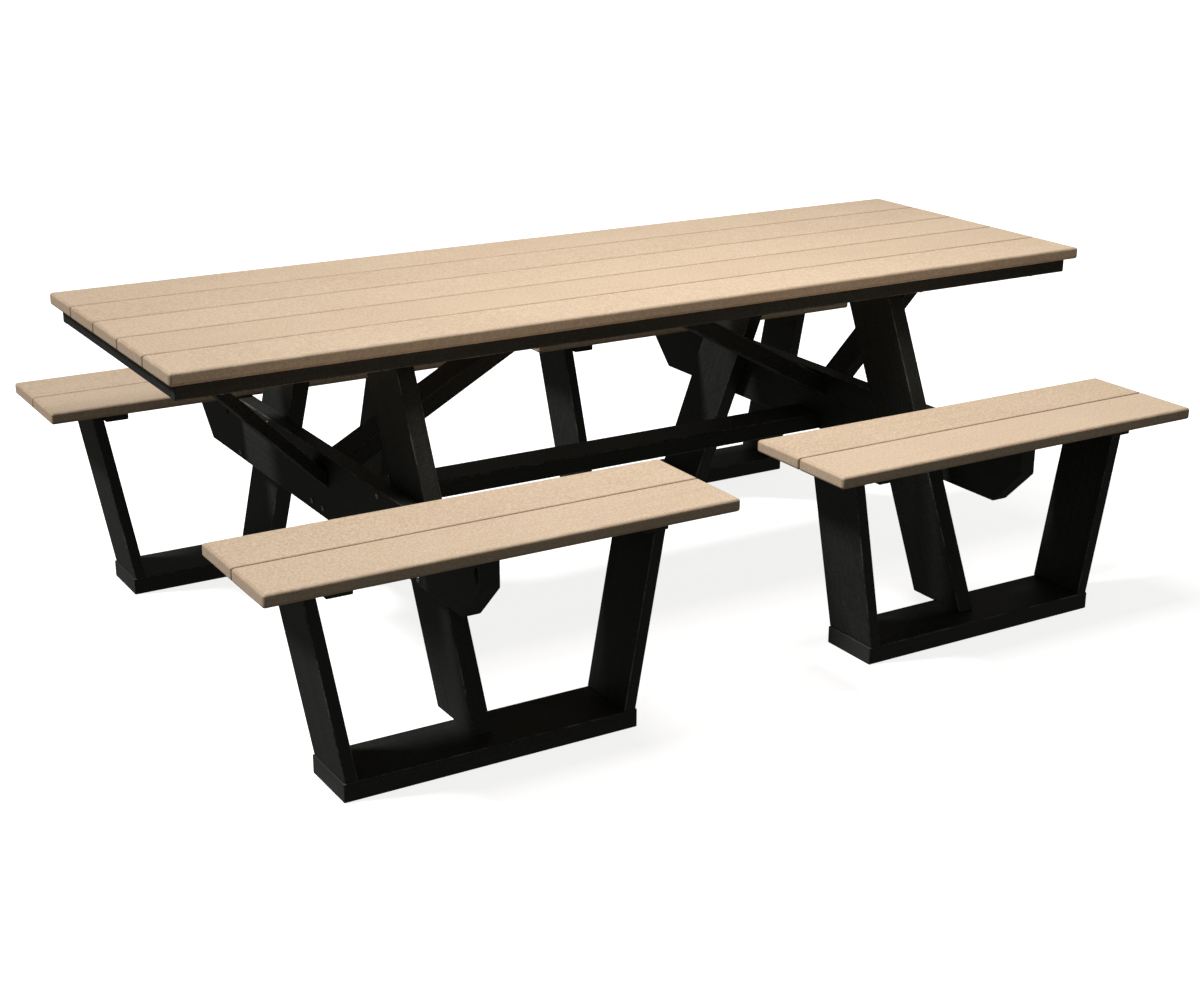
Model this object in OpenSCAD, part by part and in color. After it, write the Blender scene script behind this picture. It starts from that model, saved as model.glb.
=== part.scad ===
// Four-bench picnic table built from recycled plastic lumber.
// X runs along the table, Y across it, Z up. The origin is on the ground under the middle.

/* [Table top] */
// Length of the table top
top_l = 2134; // [1900:1:2400]
// Height of the table top above the ground
top_h = 744; // [720:1:770]
// Number of boards across the top
top_boards = 5; // [5]
// Height of the skirt under the top
skirt_h = 33; // [28:1:38]
// Distance from the front and rear edges of the top to the skirt
skirt_in = 25; // [18:1:35]
// Distance from the ends of the top to the skirt
skirt_end_in = 17; // [12:1:30]

/* [Benches] */
// Height of the seat above the ground
seat_h = 463; // [452:1:480]
// Length of one bench
bench_l = 942; // [900:1:960]
// Distance from the middle of the table to the outer edge of a seat
bench_out = 733; // [725:1:745]
// Outward lean of the bench legs, degrees from upright
bench_lean = 10; // [6:1:12]

/* [Frame] */
// Distance from the middle of the table to the middle of a trestle
trestle_x = 590; // [580:1:600]
// Lean of the table legs, degrees from upright
leg_lean = 24.8; // [24:0.1:25.5]
// Distance from the middle to the inner corner of a table leg, at the foot
leg_foot_y = 437.5; // [430:0.5:442]
// Length of one foot board
foot_l = 612; // [600:1:630]
// Distance from the middle to the inner edge of a foot board
foot_in = 502.5; // [500:0.5:510]
// Distance from the middle to the end of a seat beam
beam_end = 701; // [695:1:710]
// Size of the slanted cut under each end of a seat beam
beam_cut = 76; // [60:1:90]
// Height of the stretcher's underside above that of the seat beams
stretcher_up = 1; // [0:1:12]
// Distance of the stretcher's middle behind the middle of the table
stretcher_y = 20; // [0:1:24]
// Rise of the inner braces, degrees from level
inner_rise = 28.4; // [28:0.1:30]
// Rise of the outer braces, degrees from level
outer_rise = 45; // [44:1:46]
// Height at which the lower edge of an inner brace meets its seat beam
inner_brace_z = 384; // [376:1:384]
// Height at which the lower edge of an outer brace meets its seat beam
outer_brace_z = 369; // [362:1:372]

/* [Lumber] */
// Width of a wide board
wide = 139.7; // [139.7]
// Width of the stretcher
stretcher_w = 88.9; // [80:0.1:95]
// Width of a narrow bar, used for braces
narrow = 79; // [70:1:88]
// Width of a cleat under a seat
seat_cleat_w = 50.8; // [48:0.1:56]
// Length of a cleat under a seat
seat_cleat_l = 190; // [160:1:200]
// Thickness of a thin board
thin = 25.4; // [25.4]
// Thickness of a foot board
foot_t = 38.1; // [36:0.1:38.1]
// Thickness of a thick board
thick = 38.1; // [38.1]
// Gap between neighbouring boards
gap = 4; // [3:0.5:5]
// Radius of the rounded long edges of the top and seat boards
board_r = 6; // [4:0.5:8]
// Radius of the rounded long edges of the frame lumber
frame_r = 3; // [2:0.5:5]

/* [Screws] */
// Diameter of a screw's shank
screw_d = 6; // [5:0.5:7]
// Diameter of a screw's head
head_d = 13; // [11:0.5:14]
// Height of a screw's head
head_h = 3; // [2.5:0.5:4]
// Length of the screws that hold the top and the seats
board_screw_l = 42; // [38:1:44]
// Length of the screws that hold two thick boards together
frame_screw_l = 65; // [60:1:70]

/* [Hidden] */
$fn = 48;

tan_colour = [0.86, 0.74, 0.55];
black_colour = [0.16, 0.16, 0.15];
steel_colour = [0.78, 0.78, 0.76];

// Heights
top_under = top_h - thin;
cleat_under = top_under - thin;
seat_under = seat_h - thin;
beam_bottom = seat_under - wide;

// Across the table
top_w = top_boards * wide + (top_boards - 1) * gap;
skirt_y = top_w / 2 - skirt_in;
skirt_x = top_l / 2 - skirt_end_in;
bench_in = bench_out - 2 * wide - gap;
bench_mid = (bench_in + bench_out) / 2;

// Gap between a cleat and what it ends beside
cleat_gap = 3;

// Along the table: a table leg and its seat beam stand side by side on the trestle
beam_x = trestle_x + thick / 2;
beam_face = beam_x + thick;
end_cleat_w = 114;
end_cleat_x = skirt_x - thin - end_cleat_w - cleat_gap;
middle_cleat_x = 26;
middle_cleat_w = 95;

// Distance from the middle to the end of a cleat under the top
cleat_end = skirt_y - thin - cleat_gap;

// Distance from the trestle to the outer face of a bench leg, at the foot and at a height z
bench_leg_setback = 3;
bench_leg_foot = foot_l / 2 - bench_leg_setback;
function bench_leg_face(z) = bench_leg_foot + (z - foot_t) * tan(bench_lean);
bench_leg_slant = thin / cos(bench_lean);

// Distance from the trestle to the middle of a cleat under a seat, which stands against its leg
seat_cleat_gap = 1;
seat_cleat_mid = bench_leg_face(seat_under - thin) - bench_leg_slant - seat_cleat_gap - seat_cleat_w / 2;

// Middle of a table leg at a height z
leg_span = wide / cos(leg_lean);
function leg_mid(z) = leg_foot_y + leg_span / 2 - (z - foot_t) * tan(leg_lean);

// Spare length at each end of a piece that is cut to its place, and a size past the whole table
spare = 200;
leg_stock_l = 1100;
brace_stock_l = 1100;
bench_leg_stock_l = 700;
big = 3000;

// ---- Stock ----

// Lumber along X from 0 to length, width along Y centred, thickness up from 0
module lumber(length, width, thickness, radius) {
    translate([0, 0, thickness / 2])
        rotate([90, 0, 90])
            linear_extrude(length) rounded(width, thickness, radius);
}

// Rectangle with rounded corners, centred
module rounded(width, height, radius) {
    square([width - 2 * radius, height], center = true);
    square([width, height - 2 * radius], center = true);
    for (x = [-1, 1], y = [-1, 1])
        translate([x * (width / 2 - radius), y * (height / 2 - radius)]) circle(radius);
}

// Everything between two heights
module slab(low, high) {
    translate([-big / 2, -big / 2, low]) cube([big, big, high - low]);
}

// Puts a shape drawn at the right or the front on any side
module side(x, y) {
    mirror([x < 0 ? 1 : 0, 0, 0]) mirror([0, y > 0 ? 0 : 1, 0]) children();
}

// Shapes of a screw's head: height of its rim, width of its crown, width and floor of its socket
rim_h = head_h * 0.6;
crown_d = head_d * 0.7;
socket_d = head_d * 0.4;
socket_floor = head_h * 0.3;

// A screw with its head above 0 and its shank below, and the hole it leaves
module screw(length) {
    difference() {
        union() {
            cylinder(h = rim_h, d = head_d);
            translate([0, 0, rim_h]) cylinder(h = head_h - rim_h, d1 = head_d, d2 = crown_d);
        }
        translate([0, 0, socket_floor]) cylinder(h = head_h, d = socket_d, $fn = 6);
    }
    translate([0, 0, -length]) cylinder(h = length, d = screw_d);
}
hole_spare = 0.5;
module hole(length) {
    translate([0, 0, -length - hole_spare]) cylinder(h = length + 2 * hole_spare, d = screw_d);
}

// ---- Places of the screws, each a [position, direction of the head] ----

// Width of the recess that a sunk head stands in
recess_d = head_d + 2;

// A direction is [turn about X, turn about Y] that takes a head from up to where it faces
down = [180, 0];
toward_x = [0, 90];

module place(at, turn) {
    translate(at) rotate([turn[0], turn[1], 0]) children();
}

// Boards of the top: two screws from below through each cleat into each board
function board_y(i) = -top_w / 2 + wide / 2 + i * (wide + gap);
cleat_mid = [
    end_cleat_x + end_cleat_w / 2,
    trestle_x,
    middle_cleat_x + middle_cleat_w / 2
];
cleat_screw_dx = 26;
trestle_screw_dx = 54;
edge_screw_in = 24;
module at_top_screws() {
    for (s = [-1, 1], c = [0:2], i = [0:top_boards - 1], d = [-1, 1])
        place([s * (cleat_mid[c] + d * (c == 1 ? trestle_screw_dx : cleat_screw_dx)),
               cleat_screw_y(i), cleat_under], down) children();
}
function cleat_screw_y(i) =
    i == 0 ? board_y(i) + edge_screw_in : i == top_boards - 1 ? board_y(i) - edge_screw_in : board_y(i);

// Skirt: screws up into the top boards, hidden in the underside of the skirt
skirt_screw_n = 7;
skirt_screw_step = 320;
end_screw_step = 240;
skirt_screw_l = skirt_h + 14;
module at_skirt_screws() {
    for (s = [-1, 1], i = [0:skirt_screw_n - 1])
        place([(i - (skirt_screw_n - 1) / 2) * skirt_screw_step, s * (skirt_y - thin / 2),
               top_under - skirt_h], down) children();
    for (s = [-1, 1], i = [-1:1])
        place([s * (skirt_x - thin / 2), i * end_screw_step, top_under - skirt_h], down) children();
}

// Seats: two screws up through each cleat, one into each board
seat_screw_dy = 48;
module at_seat_screws() {
    for (s = [-1, 1], f = [-1, 1], e = [-1, 1], d = [-1, 1])
        place([s * (trestle_x + e * seat_cleat_mid),
               f * (bench_mid + d * seat_screw_dy), seat_under - thin], down)
            children();
}

// Beam: two screws through the beam into each table leg, inner and high, outer and low
beam_mid = beam_bottom + wide / 2;
beam_screw_offsets = [[-58, 57], [62, -56]];
module at_beam_screws() {
    for (s = [-1, 1], f = [-1, 1], p = beam_screw_offsets)
        mirror([s < 0 ? 1 : 0, 0, 0])
            place([beam_face, f * (leg_mid(beam_mid + p[1]) + p[0]), beam_mid + p[1]], toward_x)
                children();
}

// Seats on the beams: one slanted screw up from a pocket in the beam's outer face into each board
pocket_slant = 25;
pocket_d = 14;
pocket_depth = 18;
pocket_screw_l = 38;
pocket_l = 80;
pocket_in = 50;
module at_pocket_screws() {
    for (s = [-1, 1], f = [-1, 1], y = [bench_in + wide / 2, bench_out - pocket_in])
        mirror([s < 0 ? 1 : 0, 0, 0])
            place([beam_face - thick / 2 + pocket_depth * sin(pocket_slant), f * y,
                   seat_under - pocket_depth * cos(pocket_slant)], [180, -pocket_slant]) children();
}

// Legs: two screws down through the trestle cleat into each table leg, sunk in the cleat
leg_top_screw_dy = 40;
leg_top_screw_z = top_under - head_h - hole_spare;
module at_leg_top_screws() {
    for (s = [-1, 1], f = [-1, 1], d = [-1, 1])
        place([s * trestle_x, f * (leg_mid(cleat_under) + d * leg_top_screw_dy), leg_top_screw_z], [0, 0])
            children();
}

// Seat cleats: two screws through each cleat into its bench leg
seat_cleat_screw_dy = 66;
module at_seat_cleat_screws() {
    for (s = [-1, 1], f = [-1, 1], e = [-1, 1], d = [-1, 1])
        translate([s * trestle_x, f * bench_mid, seat_under - thin / 2])
            mirror([e > 0 ? 0 : 1, 0, 0])
                place([seat_cleat_mid - seat_cleat_w / 2, d * seat_cleat_screw_dy, 0], [0, -90])
                    children();
}

// Stretcher: two long screws through the beam into each end
stretcher_z = beam_bottom + stretcher_up;
stretcher_screw_l = 85;
stretcher_screw_dy = 28;
module at_stretcher_screws() {
    for (s = [-1, 1], d = [-1, 1])
        mirror([s < 0 ? 1 : 0, 0, 0])
            place([beam_face, stretcher_y + d * stretcher_screw_dy, stretcher_z + thick / 2], toward_x)
                children();
}

// Braces: two screws up through the top of each brace into its cleat, square to the brace
inner_top_x = beam_x - (cleat_under - inner_brace_z) / tan(inner_rise);
outer_top_x = beam_face + (cleat_under - outer_brace_z) / tan(outer_rise);
inner_screw_in = 46;
outer_screw_in = 12;
brace_screw_dy = 16;
brace_screw_l = 50;
module at_brace_screws() {
    for (s = [-1, 1], d = [-1, 1]) mirror([s < 0 ? 1 : 0, 0, 0]) {
        // through the underside of the inner brace, up into its cleat
        place([inner_top_x + inner_screw_in, d * brace_screw_dy,
               cleat_under - inner_screw_in * tan(inner_rise)], [180, inner_rise]) children();
        // through the underside of the outer brace, up into its cleat
        place([outer_top_x - outer_screw_in, d * brace_screw_dy,
               cleat_under - outer_screw_in * tan(outer_rise)], [180, -outer_rise]) children();
    }
}

// Feet: screws up into the bench legs and the table legs, sunk in the underside of the foot
foot_screw_sink = 12;
foot_screw_l = 70;
bench_leg_screw_dy = 38;
leg_screw_in = 28;
leg_screw_dy = 12;
module at_foot_screws() {
    for (s = [-1, 1], f = [-1, 1], d = [-1, 1]) {
        for (e = [-1, 1])
            place([s * (trestle_x + e * (bench_leg_foot - bench_leg_slant / 2)),
                   f * (foot_in + wide / 2 + d * bench_leg_screw_dy), foot_screw_sink], down) children();
    }
    for (s = [-1, 1], f = [-1, 1], d = [-1, 1])
        place([s * trestle_x, f * (foot_in + leg_screw_in + d * leg_screw_dy), foot_screw_sink], down)
            children();
}

// ---- Table top ----

module top_board(i) {
    color(tan_colour) difference() {
        translate([-top_l / 2, board_y(i), top_under]) lumber(top_l, wide, thin, board_r);
        at_top_screws() hole(board_screw_l);
        at_skirt_screws() hole(skirt_screw_l);
    }
}

module long_skirt() {
    translate([-skirt_x, skirt_y - thin / 2, top_under - skirt_h])
        lumber(2 * skirt_x, thin, skirt_h, frame_r);
}
module short_skirt() {
    half_l = skirt_y - thin;
    translate([skirt_x - thin / 2, -half_l, top_under - skirt_h])
        rotate([0, 0, 90]) lumber(2 * half_l, thin, skirt_h, frame_r);
}
module skirt(turned, s) {
    color(black_colour) difference() {
        if (turned) mirror([s < 0 ? 1 : 0, 0, 0]) short_skirt();
        else mirror([0, s < 0 ? 1 : 0, 0]) long_skirt();
        at_skirt_screws() hole(skirt_screw_l);
    }
}

// A flat cleat across the underside of the top
module cross_cleat(x, width) {
    translate([x + width / 2, -cleat_end, cleat_under])
        rotate([0, 0, 90]) lumber(2 * cleat_end, width, thin, frame_r);
}
module top_cleat(s, x, width) {
    color(black_colour) difference() {
        mirror([s < 0 ? 1 : 0, 0, 0]) cross_cleat(x, width);
        at_top_screws() hole(board_screw_l);
        at_brace_screws() hole(brace_screw_l);
        at_leg_top_screws() hole(foot_screw_l);
        at_leg_top_screws() cylinder(h = thin, d = recess_d);
    }
}

// ---- Trestles ----

cut_angle = 45;
module seat_beam(s) {
    color(black_colour) difference() {
        mirror([s < 0 ? 1 : 0, 0, 0])
            difference() {
                translate([beam_x + thick / 2, -beam_end, beam_bottom])
                    rotate([0, 0, 90]) lumber(2 * beam_end, thick, wide, frame_r);
                for (y = [-1, 1])
                    translate([0, y * (beam_end - beam_cut), beam_bottom])
                        rotate([y * cut_angle, 0, 0]) translate([-big / 2, -big / 2, -big])
                            cube([big, big, big]);
            }
        at_beam_screws() hole(frame_screw_l);
        at_stretcher_screws() hole(stretcher_screw_l);
        at_pocket_screws() hole(pocket_screw_l);
        at_pocket_screws() cylinder(h = pocket_l, d = pocket_d);
    }
}

module stretcher() {
    color(black_colour) difference() {
        translate([-beam_x, stretcher_y, stretcher_z]) lumber(2 * beam_x, stretcher_w, thick, frame_r);
        at_stretcher_screws() hole(stretcher_screw_l);
    }
}

// A table leg leans inward from its foot to the cleat under the top
module table_leg(s, f) {
    color(black_colour) difference() {
        side(s, f) intersection() {
            translate([trestle_x + thick / 2, leg_mid(foot_t), foot_t])
                rotate([leg_lean, 0, 0]) rotate([0, -90, 0])
                    translate([-spare, 0, 0]) lumber(leg_stock_l, wide, thick, frame_r);
            slab(foot_t, cleat_under);
        }
        at_beam_screws() hole(frame_screw_l);
        at_foot_screws() hole(foot_screw_l);
        at_leg_top_screws() hole(foot_screw_l);
    }
}

// The inner brace rises from the beam to the middle of the top
module inner_brace(s) {
    color(black_colour) difference() {
        mirror([s < 0 ? 1 : 0, 0, 0]) intersection() {
            translate([beam_x, 0, inner_brace_z]) rotate([0, inner_rise, 0]) mirror([1, 0, 0])
                translate([-spare, 0, 0]) lumber(brace_stock_l, narrow, thick, frame_r);
            translate([-big + beam_x, -big / 2, 0]) cube([big, big, cleat_under]);
        }
        at_brace_screws() hole(brace_screw_l);
    }
}

// The outer brace rises from the beam to the end of the top
module outer_brace(s) {
    color(black_colour) difference() {
        mirror([s < 0 ? 1 : 0, 0, 0]) intersection() {
            translate([beam_face, 0, outer_brace_z]) rotate([0, -outer_rise, 0])
                translate([-spare, 0, 0]) lumber(brace_stock_l, narrow, thin, frame_r);
            translate([beam_face, -big / 2, 0]) cube([big, big, cleat_under]);
        }
        at_brace_screws() hole(brace_screw_l);
    }
}

// ---- Benches ----

module foot(s, f) {
    color(black_colour) difference() {
        side(s, f) translate([trestle_x - foot_l / 2, foot_in + wide / 2, 0])
            lumber(foot_l, wide, foot_t, frame_r);
        at_foot_screws() hole(foot_screw_l);
        at_foot_screws() cylinder(h = foot_t, d = recess_d);
    }
}

module seat_board(s, f, outer) {
    y = outer ? bench_out - wide / 2 : bench_in + wide / 2;
    color(tan_colour) difference() {
        side(s, f) translate([trestle_x - bench_l / 2, y, seat_under])
            lumber(bench_l, wide, thin, board_r);
        at_seat_screws() hole(board_screw_l);
        at_pocket_screws() hole(pocket_screw_l);
    }
}

// A bench leg leans outward from its foot to the seat
module bench_leg(s, f, e) {
    color(black_colour) difference() {
        side(s, f) translate([trestle_x, 0, 0]) mirror([e < 0 ? 1 : 0, 0, 0]) intersection() {
            translate([bench_leg_foot, foot_in + wide / 2, foot_t])
                rotate([0, bench_lean, 0]) rotate([0, -90, 0]) translate([-spare, 0, 0])
                    lumber(bench_leg_stock_l, wide, thin, frame_r);
            slab(foot_t, seat_under);
        }
        at_foot_screws() hole(foot_screw_l);
        at_seat_cleat_screws() hole(frame_screw_l);
    }
}

module seat_cleats(s, f) {
    color(black_colour) difference() {
        side(s, f) for (e = [-1, 1])
            translate([trestle_x + e * seat_cleat_mid, bench_mid - seat_cleat_l / 2, seat_under - thin])
                rotate([0, 0, 90]) lumber(seat_cleat_l, seat_cleat_w, thin, frame_r);
        at_seat_screws() hole(board_screw_l);
        at_seat_cleat_screws() hole(frame_screw_l);
    }
}

// ---- Every node ----

top_board(0);  // top_board_1
top_board(1);  // top_board_2
top_board(2);  // top_board_3
top_board(3);  // top_board_4
top_board(4);  // top_board_5
skirt(false, -1);  // front_skirt
skirt(false, 1);  // rear_skirt
skirt(true, -1);  // left_skirt
skirt(true, 1);  // right_skirt
top_cleat(-1, end_cleat_x, end_cleat_w);  // left_end_cleat
top_cleat(1, end_cleat_x, end_cleat_w);  // right_end_cleat
top_cleat(-1, trestle_x - wide / 2, wide);  // left_trestle_cleat
top_cleat(1, trestle_x - wide / 2, wide);  // right_trestle_cleat
top_cleat(-1, middle_cleat_x, middle_cleat_w);  // left_middle_cleat
top_cleat(1, middle_cleat_x, middle_cleat_w);  // right_middle_cleat
seat_beam(-1);  // left_seat_beam
seat_beam(1);  // right_seat_beam
stretcher();
table_leg(-1, -1);  // left_front_leg
table_leg(-1, 1);  // left_rear_leg
table_leg(1, -1);  // right_front_leg
table_leg(1, 1);  // right_rear_leg
inner_brace(-1);  // left_inner_brace
inner_brace(1);  // right_inner_brace
outer_brace(-1);  // left_outer_brace
outer_brace(1);  // right_outer_brace
foot(-1, -1);  // left_front_foot
foot(-1, 1);  // left_rear_foot
foot(1, -1);  // right_front_foot
foot(1, 1);  // right_rear_foot
seat_board(-1, -1, true);  // left_front_seat_outer_board
seat_board(-1, -1, false);  // left_front_seat_inner_board
seat_board(-1, 1, true);  // left_rear_seat_outer_board
seat_board(-1, 1, false);  // left_rear_seat_inner_board
seat_board(1, -1, true);  // right_front_seat_outer_board
seat_board(1, -1, false);  // right_front_seat_inner_board
seat_board(1, 1, true);  // right_rear_seat_outer_board
seat_board(1, 1, false);  // right_rear_seat_inner_board
bench_leg(-1, -1, 1);  // left_front_bench_end_leg
bench_leg(-1, -1, -1);  // left_front_bench_middle_leg
bench_leg(-1, 1, 1);  // left_rear_bench_end_leg
bench_leg(-1, 1, -1);  // left_rear_bench_middle_leg
bench_leg(1, -1, 1);  // right_front_bench_end_leg
bench_leg(1, -1, -1);  // right_front_bench_middle_leg
bench_leg(1, 1, 1);  // right_rear_bench_end_leg
bench_leg(1, 1, -1);  // right_rear_bench_middle_leg
seat_cleats(-1, -1);  // left_front_seat_cleats
seat_cleats(-1, 1);  // left_rear_seat_cleats
seat_cleats(1, -1);  // right_front_seat_cleats
seat_cleats(1, 1);  // right_rear_seat_cleats
color(steel_colour) at_top_screws() screw(board_screw_l);  // top_screws
color(steel_colour) at_skirt_screws() screw(skirt_screw_l);  // skirt_screws
color(steel_colour) at_seat_screws() screw(board_screw_l);  // seat_screws
color(steel_colour) at_beam_screws() screw(frame_screw_l);  // beam_screws
color(steel_colour) at_brace_screws() screw(brace_screw_l);  // brace_screws
color(steel_colour) at_stretcher_screws() screw(stretcher_screw_l);  // stretcher_screws
color(steel_colour) at_foot_screws() screw(foot_screw_l);  // foot_screws
color(steel_colour) at_leg_top_screws() screw(foot_screw_l);  // leg_top_screws
color(steel_colour) at_pocket_screws() screw(pocket_screw_l);  // pocket_screws
color(steel_colour) at_seat_cleat_screws() screw(frame_screw_l);  // seat_cleat_screws
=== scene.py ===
import math

import bmesh
import bpy
import numpy as np
from mathutils import Matrix, Vector


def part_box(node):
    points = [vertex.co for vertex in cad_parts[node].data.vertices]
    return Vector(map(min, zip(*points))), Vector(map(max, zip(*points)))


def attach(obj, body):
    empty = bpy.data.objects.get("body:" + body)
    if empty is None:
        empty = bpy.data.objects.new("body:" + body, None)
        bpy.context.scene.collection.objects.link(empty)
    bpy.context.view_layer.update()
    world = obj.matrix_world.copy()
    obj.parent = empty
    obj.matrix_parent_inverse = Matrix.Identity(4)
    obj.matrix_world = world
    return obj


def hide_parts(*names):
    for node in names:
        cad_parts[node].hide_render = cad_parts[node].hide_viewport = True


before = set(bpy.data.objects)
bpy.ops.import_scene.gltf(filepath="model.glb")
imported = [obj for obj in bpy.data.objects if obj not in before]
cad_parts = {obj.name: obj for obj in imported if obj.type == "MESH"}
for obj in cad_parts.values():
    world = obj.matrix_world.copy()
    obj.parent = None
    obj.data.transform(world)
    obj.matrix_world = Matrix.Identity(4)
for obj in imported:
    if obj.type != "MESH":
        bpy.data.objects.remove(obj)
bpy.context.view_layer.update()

print("frame loaded with", len(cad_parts), "nodes")


# One output of a node, so that node maths reads like plain arithmetic
class Wire:
    def __init__(self, sheet, node, socket=None):
        self.sheet = sheet
        self.node = node
        self.socket = socket or next(out for out in node.outputs if out.enabled)

    def out(self, name):
        return Wire(self.sheet, self.node, self.node.outputs[name])

    def maths(self, operation, *others):
        values = dict(enumerate((self,) + others))
        return self.sheet.add("ShaderNodeMath", {"operation": operation}, values)

    def reflected(self, operation, other):
        return self.sheet.add("ShaderNodeMath", {"operation": operation}, {0: other, 1: self})

    def __add__(self, other):
        return self.maths("ADD", other)

    def __radd__(self, other):
        return self.maths("ADD", other)

    def __sub__(self, other):
        return self.maths("SUBTRACT", other)

    def __rsub__(self, other):
        return self.reflected("SUBTRACT", other)

    def __mul__(self, other):
        return self.maths("MULTIPLY", other)

    def __rmul__(self, other):
        return self.maths("MULTIPLY", other)

    def __truediv__(self, other):
        return self.maths("DIVIDE", other)

    def __rtruediv__(self, other):
        return self.reflected("DIVIDE", other)

    def __pow__(self, other):
        return self.maths("POWER", other)

    def __gt__(self, other):
        return self.maths("GREATER_THAN", other)


# A node tree with one way to add a node: its type, its settings, then values or wires for its sockets
class Sheet:
    def __init__(self, tree):
        self.tree = tree

    def add(self, kind, settings=None, values=None):
        node = self.tree.nodes.new(kind)
        for name, setting in (settings or {}).items():
            setattr(node, name, setting)
        for key, value in (values or {}).items():
            socket = pickSocket(node.inputs, key)
            if isinstance(value, Wire):
                self.tree.links.new(value.socket, socket)
            else:
                socket.default_value = value
        return Wire(self, node) if node.outputs else node


# A socket by its number, its identifier or its name
def pickSocket(sockets, key):
    if isinstance(key, int):
        return sockets[key]
    exact = [socket for socket in sockets if socket.identifier == key]
    named = [socket for socket in sockets if socket.name == key]
    return (exact or named)[0]


def newMaterial(name):
    material = bpy.data.materials.new(name)
    material.use_nodes = True
    material.node_tree.nodes.clear()
    return material, Sheet(material.node_tree)


def attribute(sheet, name, output):
    return sheet.add("ShaderNodeAttribute", {"attribute_name": name}).out(output)


def noise(sheet, place, scale, detail, roughness):
    values = {"Vector": place, "Scale": scale, "Detail": detail, "Roughness": roughness}
    return sheet.add("ShaderNodeTexNoise", {"noise_dimensions": "3D"}, values)


# A value between low and high brought to the range from 0 to 1
def spread(sheet, value, low, high):
    values = {"Value": value, "From Min": low, "From Max": high}
    return sheet.add("ShaderNodeMapRange", {"clamp": True}, values)


def stretched(sheet, place, scale):
    return sheet.add("ShaderNodeMapping", {"vector_type": "POINT"}, {"Vector": place, "Scale": scale})


def mixColour(sheet, amount, first, second):
    values = {"Factor_Float": amount, "A_Color": first, "B_Color": second}
    mixed = sheet.add("ShaderNodeMix", {"data_type": "RGBA"}, values)
    return Wire(sheet, mixed.node, pickSocket(mixed.node.outputs, "Result_Color"))


# The colour of a look with its layers over it, each given as a mask, its strength and its own colour
def layered(sheet, look, layers):
    colour = look["colour"]
    for mask, strength, name in layers:
        colour = mixColour(sheet, mask * strength, colour, look[name])
    return colour


def bumped(sheet, look, height):
    values = {"Strength": look["bumpStrength"], "Distance": look["bumpDepth"], "Height": height}
    return sheet.add("ShaderNodeBump", {}, values)


def finishMaterial(sheet, values):
    shader = sheet.add("ShaderNodeBsdfPrincipled", {}, values)
    sheet.add("ShaderNodeOutputMaterial", {}, {"Surface": shader})


tanLook = {
    "colour": (0.655, 0.50, 0.36, 1),
    "paleGrain": (0.83, 0.69, 0.54, 1),
    "darkGrain": (0.42, 0.30, 0.205, 1),
    # painted shade: a darker brown laid on every rounded edge so that it reads darker than the faces beside
    # it
    "routed": (0.42, 0.295, 0.195, 1),
    "rubbed": (0.72, 0.57, 0.42, 1),
    "soiled": (0.40, 0.29, 0.20, 1),
    "sawn": (0.55, 0.40, 0.27, 1),
    # how many times a pattern repeats in a metre
    "mottle": 215,
    "fine": 520,
    "streak": (2.5, 170, 170),
    "cloud": 5,
    "smudge": 22,
    "roughness": 0.42,
    "bumpStrength": 0.5,
    "bumpDepth": 0.0007,
    "refraction": 1.48,
}


# Tan plastic lumber: mottled grain a few millimetres wide, faint streaks along the board, rubbed arrises,
# and painted shade that darkens every rounded edge
def makeTanLumber():
    material, sheet = newMaterial("tanLumber")
    place = attribute(sheet, "grain", "Vector")
    arris = attribute(sheet, "arris", "Fac")
    tone = attribute(sheet, "tone", "Fac")
    sawn = attribute(sheet, "sawn", "Fac")
    mottle = noise(sheet, place, tanLook["mottle"], 3, 0.6)
    fine = noise(sheet, place, tanLook["fine"], 2, 0.6)
    streak = noise(sheet, stretched(sheet, place, tanLook["streak"]), 1, 3, 0.55)
    cloud = noise(sheet, place, tanLook["cloud"], 2, 0.5)
    smudge = noise(sheet, place, tanLook["smudge"], 4, 0.65)
    rubbing = arris * spread(sheet, smudge, 0.5, 0.64)

    colour = layered(sheet, tanLook, [
        (spread(sheet, mottle * 0.65 + fine * 0.35, 0.5, 0.66), 0.75, "paleGrain"),
        (spread(sheet, mottle * 0.55 + fine * 0.45, 0.5, 0.36), 0.7, "darkGrain"),
        (spread(sheet, streak, 0.45, 0.75), 0.16, "darkGrain"),
        (spread(sheet, cloud + tone * 0.4, 0.4, 1.0), 0.2, "paleGrain"),
        (spread(sheet, smudge, 0.6, 0.8), 0.12, "soiled"),
        (sawn, 0.35, "sawn"),
        # painted shade over every rounded edge
        (arris, 0.45, "routed"),
        (rubbing, 0.5, "rubbed"),
    ])
    roughness = tanLook["roughness"] + mottle * 0.16 + sawn * 0.12 - rubbing * 0.08
    bump = bumped(sheet, tanLook, mottle * 0.6 + fine * 0.3 + streak * 0.35)
    values = {"Base Color": colour, "Roughness": roughness, "Normal": bump, "IOR": tanLook["refraction"]}
    finishMaterial(sheet, values)
    return material


blackLook = {
    "colour": (0.0155, 0.0172, 0.0145, 1),
    "paleGrain": (0.054, 0.0575, 0.051, 1),
    "darkGrain": (0.005, 0.0052, 0.0042, 1),
    # painted highlight, partly wear: the pale line along the middle of each rounded edge
    "rubbed": (0.30, 0.295, 0.27, 1),
    "dusty": (0.07, 0.064, 0.054, 1),
    # how many times a pattern repeats in a metre
    "mottle": 210,
    "fine": 600,
    "streak": (2, 150, 150),
    "sawMark": (40, 900, 30),
    "smudge": 18,
    "dustHeight": 0.03,
    "roughness": 0.44,
    "bumpStrength": 0.8,
    "bumpDepth": 0.001,
    "refraction": 1.5,
}
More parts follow.
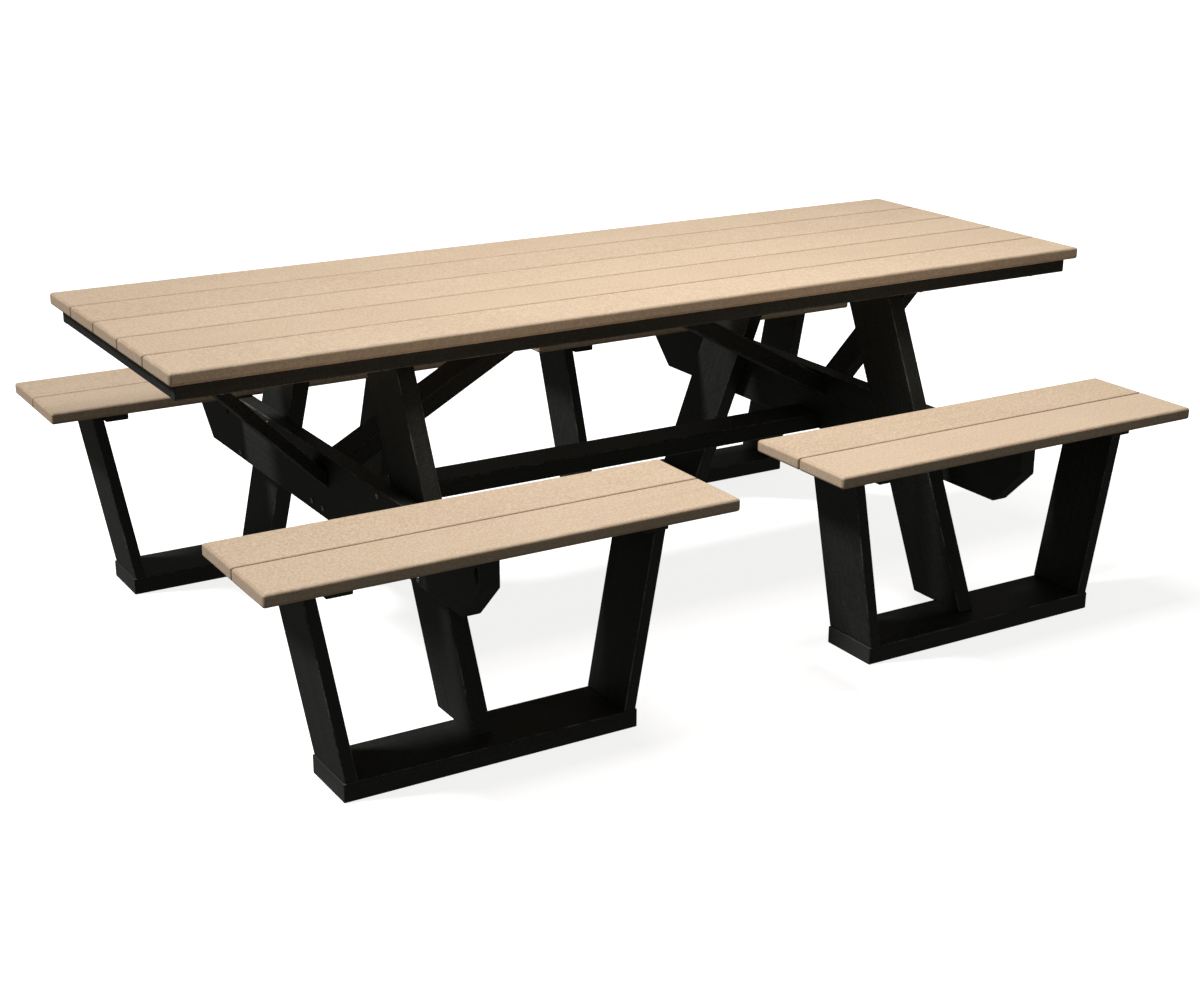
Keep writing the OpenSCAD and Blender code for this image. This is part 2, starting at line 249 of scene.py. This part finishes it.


# Black plastic lumber: the same grain with pale specks, a broken pale line along the middle of each arris
# that is painted highlight and partly wear, dust near the ground and saw marks across the cut ends
def makeBlackLumber():
    material, sheet = newMaterial("blackLumber")
    place = attribute(sheet, "grain", "Vector")
    arris = attribute(sheet, "arris", "Fac")
    tone = attribute(sheet, "tone", "Fac")
    sawn = attribute(sheet, "sawn", "Fac")
    where = sheet.add("ShaderNodeTexCoord").out("Object")
    height = sheet.add("ShaderNodeSeparateXYZ", {}, {"Vector": where}).out("Z")
    mottle = noise(sheet, place, blackLook["mottle"], 3, 0.6)
    fine = noise(sheet, place, blackLook["fine"], 2, 0.6)
    streak = noise(sheet, stretched(sheet, place, blackLook["streak"]), 1, 3, 0.55)
    sawMark = noise(sheet, stretched(sheet, place, blackLook["sawMark"]), 1, 2, 0.5)
    smudge = noise(sheet, place, blackLook["smudge"], 4, 0.65)
    dust = spread(sheet, height, blackLook["dustHeight"], 0.0) * spread(sheet, smudge, 0.4, 0.65)

    colour = layered(sheet, blackLook, [
        (spread(sheet, mottle * 0.6 + fine * 0.4, 0.52, 0.7), 0.8, "paleGrain"),
        (spread(sheet, mottle, 0.5, 0.32), 0.7, "darkGrain"),
        (spread(sheet, streak + tone * 0.2, 0.5, 0.9), 0.4, "paleGrain"),
        (dust, 0.35, "dusty"),
        (sawn, 0.3, "paleGrain"),
        # painted highlight with some wear: a thin broken pale line on the crown of each rounded edge, where
        # it would catch the light
        (arris ** 2 * spread(sheet, smudge * 0.5 + fine * 0.5, 0.47, 0.58), 0.85, "rubbed"),
    ])
    roughness = blackLook["roughness"] + mottle * 0.2 + sawn * 0.12 + dust * 0.2
    bump = bumped(sheet, blackLook, mottle * 0.6 + fine * 0.3 + streak * 0.3 + sawn * sawMark * 0.8)
    values = {"Base Color": colour, "Roughness": roughness, "Normal": bump, "IOR": blackLook["refraction"]}
    finishMaterial(sheet, values)
    return material


steelLook = {
    "colour": (0.42, 0.41, 0.39, 1),
    "dull": (0.12, 0.112, 0.10, 1),
    # painted glint: a bright colour for a ring on each head
    "bright": (0.85, 0.84, 0.82, 1),
    # how many times a pattern repeats in a metre
    "patch": 240,
    "line": (300, 1800, 1800),
    "roughness": 0.24,
    "bumpStrength": 0.3,
    "bumpDepth": 0.0001,
}


# Stainless screws: turned lines, duller in patches, and a ring of painted glint on each head round its
# recess
def makeStainless():
    material, sheet = newMaterial("stainlessSteel")
    place = sheet.add("ShaderNodeTexCoord").out("Object")
    arris = attribute(sheet, "arris", "Fac")
    patch = noise(sheet, place, steelLook["patch"], 3, 0.6)
    line = noise(sheet, stretched(sheet, place, steelLook["line"]), 1, 2, 0.5)
    colour = layered(sheet, steelLook, [
        (spread(sheet, patch, 0.45, 0.7), 0.6, "dull"),
        # painted glint on the ring marked round the recess
        (arris * spread(sheet, patch, 0.35, 0.6), 1.0, "bright"),
    ])
    roughness = steelLook["roughness"] + patch * 0.24
    bump = bumped(sheet, steelLook, line + patch)
    finishMaterial(sheet, {"Base Color": colour, "Roughness": roughness, "Normal": bump, "Metallic": 1.0})
    return material


tanLumber = makeTanLumber()
blackLumber = makeBlackLumber()
stainlessSteel = makeStainless()
print("materials made")


# How far a piece's grain is moved at random, so that no two pieces look alike
grainShift = 9


# A new Geometry Nodes tree with named inputs
def newGeometryTree(name, inputs):
    tree = bpy.data.node_groups.new(name, "GeometryNodeTree")
    for label, kind in inputs.items():
        tree.interface.new_socket(label, in_out="INPUT", socket_type=kind)
    tree.interface.new_socket("Geometry", in_out="OUTPUT", socket_type="NodeSocketGeometry")
    sheet = Sheet(tree)
    return tree, sheet, sheet.add("NodeGroupInput")


def storeAttribute(sheet, geometry, name, kind, domain, value):
    settings = {"data_type": kind, "domain": domain}
    return sheet.add("GeometryNodeStoreNamedAttribute", settings,
                     {"Geometry": geometry, "Name": name, "Value": value})


# Gives a piece the mesh that a tree makes, and leaves no modifier on it
def runTree(piece, tree, values):
    modifier = piece.modifiers.new(tree.name, "NODES")
    modifier.node_group = tree
    for item in tree.interface.items_tree:
        if item.in_out == "INPUT" and item.name in values:
            modifier[item.identifier] = values[item.name]
    bpy.context.view_layer.update()
    evaluated = piece.evaluated_get(bpy.context.evaluated_depsgraph_get())
    mesh = bpy.data.meshes.new_from_object(evaluated)
    mesh.name = piece.name
    piece.modifiers.remove(modifier)
    piece.data = mesh
    return piece


def newPiece(name, data=None):
    piece = bpy.data.objects.new(name, data or bpy.data.meshes.new(name))
    bpy.context.scene.collection.objects.link(piece)
    return piece


def camelName(node):
    words = node.split("_")
    return words[0] + "".join(word.capitalize() for word in words[1:])


def settle(piece, node):
    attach(piece, "root")
    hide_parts(node)


boards = {
    "outerRadius": 0.006,    # routed edge all round the top and each seat
    "seamRadius": 0.0028,    # eased edge where two boards meet
    "steps": 4,              # faces in half of a rounded edge
    "slack": 0.001,          # a distance too small to matter where two places are compared
    "toneSeed": 50,          # keeps the tone's random number apart from the grain's
    "rows": [
        ["top_board_1", "top_board_2", "top_board_3", "top_board_4", "top_board_5"],
        ["left_front_seat_outer_board", "left_front_seat_inner_board"],
        ["right_front_seat_outer_board", "right_front_seat_inner_board"],
        ["left_rear_seat_inner_board", "left_rear_seat_outer_board"],
        ["right_rear_seat_inner_board", "right_rear_seat_outer_board"],
    ],
}


# A board from a gridded cube: each grid point goes to its place on a flat or on a rounded edge or corner
def makeBoardTree():
    tree, sheet, given = newGeometryTree("roundedBoard", {
        "Geometry": "NodeSocketGeometry",
        "Length": "NodeSocketFloat",
        "Width": "NodeSocketFloat",
        "Thickness": "NodeSocketFloat",
        "End radius": "NodeSocketFloat",
        "Front radius": "NodeSocketFloat",
        "Rear radius": "NodeSocketFloat",
        "Middle": "NodeSocketVector",
        "Seed": "NodeSocketInt",
        "Material": "NodeSocketMaterial",
    })
    points = 2 * boards["steps"] + 2
    inner = 1 / (points - 1)
    cube = sheet.add("GeometryNodeMeshCube", {}, {
        "Size": (2, 2, 2), "Vertices X": points, "Vertices Y": points, "Vertices Z": points})
    position = sheet.add("GeometryNodeInputPosition")
    axes = sheet.add("ShaderNodeSeparateXYZ", {}, {"Vector": position})

    signs, slopes, edgeCount = [], [], 0
    for axis in "XYZ":
        along = axes.out(axis)
        distance = along.maths("ABSOLUTE")
        share = ((distance - inner) / (1 - inner)).maths("MAXIMUM", 0)
        signs.append(along.maths("SIGN"))
        slopes.append((share * (math.pi / 4)).maths("TANGENT"))
        edgeCount = edgeCount + (distance > inner + boards["slack"])
    length = (slopes[0] ** 2 + slopes[1] ** 2 + slopes[2] ** 2).maths("SQRT")
    normal = [slope / length for slope in slopes]

    endRadius = given.out("End radius")
    frontRadius = given.out("Front radius")
    longRadius = frontRadius + (given.out("Rear radius") - frontRadius) * (signs[1] > 0)
    towardEnd = slopes[0] / (slopes[0] + slopes[1])
    faceRadius = longRadius + (endRadius - longRadius) * towardEnd
    placed = {}
    for axis, name, radius, sign, out in zip(
            "XYZ", ("Length", "Width", "Thickness"), (endRadius, longRadius, faceRadius), signs, normal):
        placed[axis] = sign * (given.out(name) * 0.5 - radius + radius * out)
    local = sheet.add("ShaderNodeCombineXYZ", {}, placed)

    zero = sheet.add("FunctionNodeInputInt", {"integer": 0})
    drawn = sheet.add("FunctionNodeRandomValue", {"data_type": "FLOAT_VECTOR"}, {
        "Min": (-grainShift,) * 3, "Max": (grainShift,) * 3, "ID": zero, "Seed": given.out("Seed")})
    shade = sheet.add("FunctionNodeRandomValue", {"data_type": "FLOAT"}, {
        "Min_001": 0.0, "Max_001": 1.0, "ID": zero, "Seed": given.out("Seed") + boards["toneSeed"]})
    grain = sheet.add("ShaderNodeVectorMath", {"operation": "ADD"}, {0: local, 1: drawn})
    moved = sheet.add("ShaderNodeVectorMath", {"operation": "ADD"}, {0: local, 1: given.out("Middle")})

    # a face is rounded where it is off the flat along two axes or all three
    rounded = edgeCount > 1.5
    endFace = axes.out("X").maths("ABSOLUTE") > 1 - boards["slack"]
    shape = storeAttribute(sheet, cube, "arris", "FLOAT", "FACE", rounded)
    shape = storeAttribute(sheet, shape, "sawn", "FLOAT", "FACE", endFace)
    shape = storeAttribute(sheet, shape, "tone", "FLOAT", "FACE", shade)
    shape = storeAttribute(sheet, shape, "grain", "FLOAT_VECTOR", "POINT", grain)
    shape = sheet.add("GeometryNodeSetShadeSmooth", {"domain": "FACE"}, {
        "Geometry": shape, "Selection": rounded, "Shade Smooth": True})
    shape = sheet.add("GeometryNodeSetPosition", {}, {"Geometry": shape, "Position": moved})
    shape = sheet.add("GeometryNodeRealizeInstances", {}, {"Geometry": shape})
    shape = sheet.add("GeometryNodeSetMaterial", {}, {"Geometry": shape, "Material": given.out("Material")})
    sheet.add("NodeGroupOutput", {}, {"Geometry": shape})
    return tree


# The radius of a long edge, which is routed where it is on the outside of its row
def edgeRadius(distance):
    return boards["outerRadius"] if distance < boards["slack"] else boards["seamRadius"]


def makeBoards():
    tree = makeBoardTree()
    seed = 0
    for row in boards["rows"]:
        front = min(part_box(node)[0].y for node in row)
        rear = max(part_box(node)[1].y for node in row)
        for node in row:
            low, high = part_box(node)
            size = high - low
            seed += 1
            board = runTree(newPiece(camelName(node)), tree, {
                "Length": size.x,
                "Width": size.y,
                "Thickness": size.z,
                "End radius": boards["outerRadius"],
                "Front radius": edgeRadius(low.y - front),
                "Rear radius": edgeRadius(rear - high.y),
                "Middle": (low + high) / 2,
                "Seed": seed,
                "Material": tanLumber,
            })
            settle(board, node)
    print("boards made:", seed)


makeBoards()

lumber = {
    "cutEase": 0.0018,       # bevel round every sawn end
    "easeSteps": 2,
    "stripWidth": 0.0025,    # a face narrower than this is part of a rounded edge or of a screw hole
    "stripLength": 0.1,      # and a rounded edge is longer than this
    "mergeDistance": 0.000002,
    "flatAngle": 0.5,        # degrees; faces that meet at less than this are one face
    "sharpAngle": 20,        # degrees; an end's edge is eased where it is sharper than this
    "endFacing": 0.3,        # how far a sawn end faces along the piece, as a cosine
    "firstSeed": 100,
}
# every piece that is neither a tan board nor a set of screws
frameNodes = [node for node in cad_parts
              if not node.endswith("_screws") and not node.endswith("_board")
              and not node.startswith("top_board")]


# The axes of a piece of lumber: along its longest edge, along the world axis most nearly square to that
# edge, and square to both
def lumberAxes(shape):
    longest = max(shape.edges, key=lambda edge: edge.calc_length())
    along = (longest.verts[1].co - longest.verts[0].co).normalized()
    worldAxes = (Vector((1, 0, 0)), Vector((0, 1, 0)), Vector((0, 0, 1)))
    level = min(worldAxes, key=lambda axis: abs(axis.dot(along)))
    return along, level, along.cross(level)


def faceKind(face, along):
    longest = max(edge.calc_length() for edge in face.edges)
    if face.calc_area() / longest < lumber["stripWidth"]:
        return "arris" if longest > lumber["stripLength"] else "hole"
    return "sawn" if abs(face.normal.dot(along)) > lumber["endFacing"] else "flat"


# Merges a CAD node's loose triangles, eases its sawn ends and marks each face for the material
def makeLumber(node, seed):
    shape = bmesh.new()
    shape.from_mesh(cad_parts[node].data)
    bmesh.ops.remove_doubles(shape, verts=shape.verts, dist=lumber["mergeDistance"])
    bmesh.ops.dissolve_limit(shape, angle_limit=math.radians(lumber["flatAngle"]),
                             verts=shape.verts, edges=shape.edges)
    along, level, across = lumberAxes(shape)
    kinds = {face: faceKind(face, along) for face in shape.faces}
    sharp = math.radians(lumber["sharpAngle"])
    cuts = []
    for edge in shape.edges:
        pair = [kinds[face] for face in edge.link_faces]
        if "sawn" in pair and "hole" not in pair and edge.calc_face_angle(0) > sharp:
            cuts.append(edge)
    eased = bmesh.ops.bevel(shape, geom=cuts, offset=lumber["cutEase"], segments=lumber["easeSteps"],
                            profile=0.5, affect="EDGES", clamp_overlap=False)
    newFaces = set(eased["faces"])

    arris = shape.faces.layers.float.new("arris")
    sawn = shape.faces.layers.float.new("sawn")
    tone = shape.faces.layers.float.new("tone")
    grain = shape.verts.layers.float_vector.new("grain")
    draw = np.random.default_rng(seed)
    shift = Vector(draw.uniform(-grainShift, grainShift, 3))
    shade = float(draw.uniform(0, 1))
    for face in shape.faces:
        kind = "arris" if face in newFaces else faceKind(face, along)
        # the crown peaks at the middle of a rounded edge, which keeps the painted highlight line there thin
        crown = 2 * abs(face.normal.dot(level) * face.normal.dot(across))
        face[arris] = crown if kind == "arris" else 0.0
        face[sawn] = float(kind == "sawn")
        face[tone] = shade
        face.smooth = kind in ("arris", "hole")
        face.material_index = 0
    for vert in shape.verts:
        vert[grain] = Vector((vert.co.dot(along), vert.co.dot(level), vert.co.dot(across))) + shift

    mesh = bpy.data.meshes.new(camelName(node))
    shape.to_mesh(mesh)
    shape.free()
    mesh.materials.append(blackLumber)
    settle(newPiece(camelName(node), mesh), node)


for number, node in enumerate(frameNodes):
    makeLumber(node, lumber["firstSeed"] + number)
print("frame lumber made:", len(frameNodes))

screws = {
    "sides": 12,
    "headRadius": 0.0065,
    "shankRadius": 0.003,
    "recessDepth": 0.0014,
    # radius as a share of the head's radius, and level as a share of its height
    "profile": [(0.97, 0.0), (1.0, 0.25), (0.97, 0.5), (0.8, 0.82), (0.58, 0.97), (0.44, 1.0)],
    "lobe": (0.44, 0.33),    # the recess's outer and inner radius, as shares of the head's radius
    "rubbed": (0.3, 0.5),    # the ring that carries the painted glint, in the same shares
    "rim": 0.95,             # points further out than this share are on the rim
    "shankSides": 8,
    "tip": 0.15,             # radius of the point's end, as a share of the shank's
    "mergeDistance": 0.00001,
}
screwNodes = [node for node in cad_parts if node.endswith("_screws")]


# Place, facing, shank length and head height of each screw of a node, read from its own solids
def findScrews(node):
    shape = bmesh.new()
    shape.from_mesh(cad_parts[node].data)
    bmesh.ops.remove_doubles(shape, verts=shape.verts, dist=lumber["mergeDistance"])
    left = set(shape.verts)
    found = []
    while left:
        group, queue = [], [left.pop()]
        while queue:
            vert = queue.pop()
            group.append(vert.co.copy())
            for edge in vert.link_edges:
                other = edge.other_vert(vert)
                if other in left:
                    left.remove(other)
                    queue.append(other)
        found.append(measureScrew(np.array(group)))
    shape.free()
    return found


def measureScrew(points):
    middle = points.mean(0)
    axis = np.linalg.svd(points - middle)[2][0]
    height = (points - middle) @ axis
    distance = np.linalg.norm(points - middle - np.outer(height, axis), axis=1)
    rim = distance > screws["headRadius"] * screws["rim"]
    if height[rim].mean() < 0:
        axis, height = -axis, -height
    seat = height[rim].min()
    return {"place": middle + axis * seat, "facing": axis, "length": seat - height.min(),
            "headHeight": height.max() - seat}


# A domed head with a six-lobed recess, standing on the origin
def makeHead(headHeight):
    count = screws["sides"]
    shape = bmesh.new()
    rings = []
    for share, level in screws["profile"]:
        radius = share * screws["headRadius"]
        rings.append([(radius, radius, level * headHeight)] * count)
    lobe = [share * screws["headRadius"] for share in screws["lobe"]]
    for depth in (headHeight, headHeight - screws["recessDepth"]):
        rings.append([(lobe[side % 2], lobe[side % 2], depth) for side in range(count)])
    loops = []
    for ring in rings:
        loops.append([shape.verts.new((x * math.cos(2 * math.pi * side / count),
                                       y * math.sin(2 * math.pi * side / count), z))
                      for side, (x, y, z) in enumerate(ring)])
    for lower, upper in zip(loops, loops[1:]):
        for side in range(count):
            after = (side + 1) % count
            shape.faces.new((lower[side], lower[after], upper[after], upper[side]))
    shape.faces.new(list(reversed(loops[0])))
    shape.faces.new(loops[-1])
    bmesh.ops.remove_doubles(shape, verts=shape.verts, dist=screws["mergeDistance"])
    bmesh.ops.recalc_face_normals(shape, faces=shape.faces)
    arris = shape.faces.layers.float.new("arris")
    innerShare, outerShare = screws["rubbed"]
    for face in shape.faces:
        share = face.calc_center_median().xy.length / screws["headRadius"]
        # faces in this ring get the painted glint
        face[arris] = float(innerShare < share < outerShare)
        face.smooth = share > outerShare
    mesh = bpy.data.meshes.new("screwHead")
    shape.to_mesh(mesh)
    shape.free()
    return newPiece("screwHead", mesh)


# One screw from a head, a shank and a point, set on every point of a mesh and turned to its facing
def makeScrewTree():
    tree, sheet, given = newGeometryTree("screwsOnPoints", {
        "Geometry": "NodeSocketGeometry",
        "Head": "NodeSocketObject",
        "Shank radius": "NodeSocketFloat",
        "Shank length": "NodeSocketFloat",
        "Material": "NodeSocketMaterial",
    })
    head = sheet.add("GeometryNodeObjectInfo", {}, {"Object": given.out("Head")}).out("Geometry")
    shankRadius = given.out("Shank radius")
    shankLength = given.out("Shank length")
    pointLength = shankRadius * 2
    body = sheet.add("GeometryNodeMeshCylinder", {}, {
        "Vertices": screws["shankSides"], "Radius": shankRadius, "Depth": shankLength - pointLength})
    body = sheet.add("GeometryNodeTransform", {}, {
        "Geometry": body.out("Mesh"),
        "Translation": sheet.add("ShaderNodeCombineXYZ", {}, {"Z": (shankLength - pointLength) * -0.5})})
    point = sheet.add("GeometryNodeMeshCone", {}, {
        "Vertices": screws["shankSides"], "Radius Top": shankRadius,
        "Radius Bottom": shankRadius * screws["tip"], "Depth": pointLength})
    point = sheet.add("GeometryNodeTransform", {}, {
        "Geometry": point.out("Mesh"),
        "Translation": sheet.add("ShaderNodeCombineXYZ", {}, {"Z": 0 - shankLength})})
    screw = sheet.add("GeometryNodeJoinGeometry")
    for part in (head, body, point):
        sheet.tree.links.new(part.socket, screw.node.inputs[0])

    facing = sheet.add("GeometryNodeInputNamedAttribute", {"data_type": "FLOAT_VECTOR"}, {"Name": "facing"})
    turn = sheet.add("FunctionNodeAlignRotationToVector", {"axis": "Z"},
                     {"Vector": facing.out("Attribute")})
    spots = sheet.add("GeometryNodeMeshToPoints", {"mode": "VERTICES"}, {"Mesh": given.out("Geometry")})
    values = {"Points": spots, "Instance": screw, "Rotation": turn}
    shape = sheet.add("GeometryNodeInstanceOnPoints", {}, values)
    shape = sheet.add("GeometryNodeRealizeInstances", {}, {"Geometry": shape})
    shape = sheet.add("GeometryNodeSetMaterial", {}, {"Geometry": shape, "Material": given.out("Material")})
    sheet.add("NodeGroupOutput", {}, {"Geometry": shape})
    return tree


def makeScrews():
    tree = makeScrewTree()
    total = 0
    for node in screwNodes:
        found = findScrews(node)
        total += len(found)
        spots = bpy.data.meshes.new(camelName(node))
        spots.from_pydata([tuple(screw["place"]) for screw in found], [], [])
        facing = spots.attributes.new("facing", "FLOAT_VECTOR", "POINT")
        facing.data.foreach_set("vector", np.array([screw["facing"] for screw in found]).ravel())
        head = makeHead(found[0]["headHeight"])
        piece = runTree(newPiece(camelName(node), spots), tree, {
            "Head": head,
            "Shank radius": screws["shankRadius"],
            "Shank length": float(found[0]["length"]),
            "Material": stainlessSteel,
        })
        bpy.data.objects.remove(head)
        settle(piece, node)
    print("screws made:", total)


makeScrews()

studio = {
    "floorSize": 80.0,
    "floorDrop": 0.0005,
    "floorColour": (0.80, 0.80, 0.79, 1),
    "floorPatch": (0.7, 0.7, 0.7, 1),
    "floorGlow": 0.84,
    "backdrop": (0.98, 0.98, 0.98, 1),
    "fill": (0.084, 0.082, 0.073, 1),
    "sunStrength": 2.6,
    "sunSoftness": 9.0,      # degrees
    "sunFrom": (-0.6, 0.2, 0.77),
    "panelPower": 26.0,
    "panelSize": (1.3, 0.7),
    "panelPlace": (0.15, -0.48, 2.5),
    "panelColour": (1.0, 0.96, 0.89),
}


# A pale floor that gives no light back to the table, so that faces turned from the lights stay dark
def makeFloor():
    material, sheet = newMaterial("paleFloor")
    place = sheet.add("ShaderNodeTexCoord").out("Object")
    patch = noise(sheet, place, 1.5, 2, 0.5)
    colour = mixColour(sheet, patch * 0.06, studio["floorColour"], studio["floorPatch"])
    values = {"Base Color": colour, "Roughness": 0.9, "Emission Color": (1, 1, 1, 1),
              "Emission Strength": studio["floorGlow"]}
    finishMaterial(sheet, values)
    half = studio["floorSize"] / 2
    mesh = bpy.data.meshes.new("paleFloor")
    corners = [(-half, -half, 0), (half, -half, 0), (half, half, 0), (-half, half, 0)]
    mesh.from_pydata(corners, [], [(0, 1, 2, 3)])
    mesh.materials.append(material)
    floor = newPiece("paleFloor", mesh)
    floor.location.z = -studio["floorDrop"]
    floor.visible_diffuse = False
    floor.visible_glossy = False


def makeLights():
    sunData = bpy.data.lights.new("softSun", "SUN")
    sunData.energy = studio["sunStrength"]
    sunData.angle = math.radians(studio["sunSoftness"])
    sun = newPiece("softSun", sunData)
    sun.rotation_euler = Vector(studio["sunFrom"]).to_track_quat("Z", "Y").to_euler()

    panelData = bpy.data.lights.new("softPanel", "AREA")
    panelData.shape = "RECTANGLE"
    panelData.size, panelData.size_y = studio["panelSize"]
    panelData.energy = studio["panelPower"]
    panelData.color = studio["panelColour"]
    panel = newPiece("softPanel", panelData)
    panel.location = studio["panelPlace"]

    world = bpy.data.worlds.new("studioWorld")
    bpy.context.scene.world = world
    world.use_nodes = True
    world.node_tree.nodes.clear()
    sheet = Sheet(world.node_tree)
    seen = sheet.add("ShaderNodeLightPath").out("Is Camera Ray")
    colour = mixColour(sheet, seen, studio["fill"], studio["backdrop"])
    sky = sheet.add("ShaderNodeBackground", {}, {"Color": colour, "Strength": 1.0})
    sheet.add("ShaderNodeOutputWorld", {}, {"Surface": sky})


view = {
    "place": (-2.092, -3.4754, 1.6303),
    "turn": 31.29,           # degrees from +Y towards +X
    "drop": 19.175,          # degrees below level
    "roll": 0.30,
    "lens": 57.775,
    "sensor": 36.0,          # mm wide
    "reach": 200.0,
}


def makeCamera():
    data = bpy.data.cameras.new("studioCamera")
    data.sensor_fit = "HORIZONTAL"
    data.sensor_width = view["sensor"]
    data.lens = view["lens"]
    data.clip_end = view["reach"]
    camera = newPiece("studioCamera", data)
    turn = Matrix.Rotation(-math.radians(view["turn"]), 4, "Z")
    tilt = Matrix.Rotation(math.radians(90 - view["drop"]), 4, "X")
    roll = Matrix.Rotation(math.radians(view["roll"]), 4, "Z")
    camera.matrix_world = Matrix.Translation(view["place"]) @ turn @ tilt @ roll
    bpy.context.scene.camera = camera


makeFloor()
makeLights()
makeCamera()
bpy.context.scene.view_settings.view_transform = "Standard"
print("studio made")
